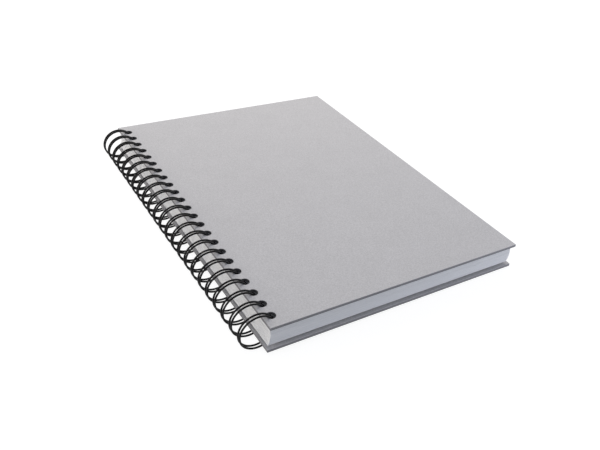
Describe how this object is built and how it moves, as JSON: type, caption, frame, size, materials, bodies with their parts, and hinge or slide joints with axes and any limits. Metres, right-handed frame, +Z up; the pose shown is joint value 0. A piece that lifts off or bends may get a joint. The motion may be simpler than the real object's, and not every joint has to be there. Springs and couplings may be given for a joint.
{
  "type": "wire-bound sketchbook",
  "caption": "Hardcover sketchbook with grey board covers and a thick block of white leaves, bound along the long side by a black twin-loop wire comb that covers and leaves turn on.",
  "frame": {"origin": "under the middle of the closed book's outline, on the surface it lies on", "axes": "+Y along the spine from tail to head, +X from the wire to the fore-edge, +Z up through the front cover"},
  "size_m": [0.2312, 0.3026, 0.0272],
  "materials": {
    "board": "grey board, matt with a fine fibre grain",
    "paper": "white cartridge paper, matt",
    "wire": "black nylon-coated steel wire, glossy"
  },
  "bodies": {
    "root": {"wire_comb": "wire", "back_cover": "board"},
    "lower_leaves": {"leaf_bundle_8": "paper", "leaf_bundle_7": "paper", "leaf_bundle_6": "paper", "leaf_bundle_5": "paper"},
    "upper_leaves": {"leaf_bundle_4": "paper", "leaf_bundle_3": "paper", "leaf_bundle_2": "paper", "leaf_bundle_1": "paper"},
    "first_leaf": {"first_leaf": "paper"},
    "front_cover": {"front_cover": "board"}
  },
  "joints": [
    {"name": "lower_leaves_turn", "type": "hinge", "parent": "root", "child": "lower_leaves", "pos_m": [-0.1021, 0, 0.01366], "axis": [0, -1, 0], "range_deg": [0, 181.5]},
    {"name": "upper_leaves_turn", "type": "hinge", "parent": "lower_leaves", "child": "upper_leaves", "pos_m": [-0.1021, 0, 0.01366], "axis": [0, -1, 0], "range_deg": [0, 181.5]},
    {"name": "first_leaf_turn", "type": "hinge", "parent": "upper_leaves", "child": "first_leaf", "pos_m": [-0.1021, 0, 0.01366], "axis": [0, -1, 0], "range_deg": [0, 181.5]},
    {"name": "front_cover_turn", "type": "hinge", "parent": "first_leaf", "child": "front_cover", "pos_m": [-0.1021, 0, 0.01366], "axis": [0, -1, 0], "range_deg": [0, 181.5]}
  ]
}
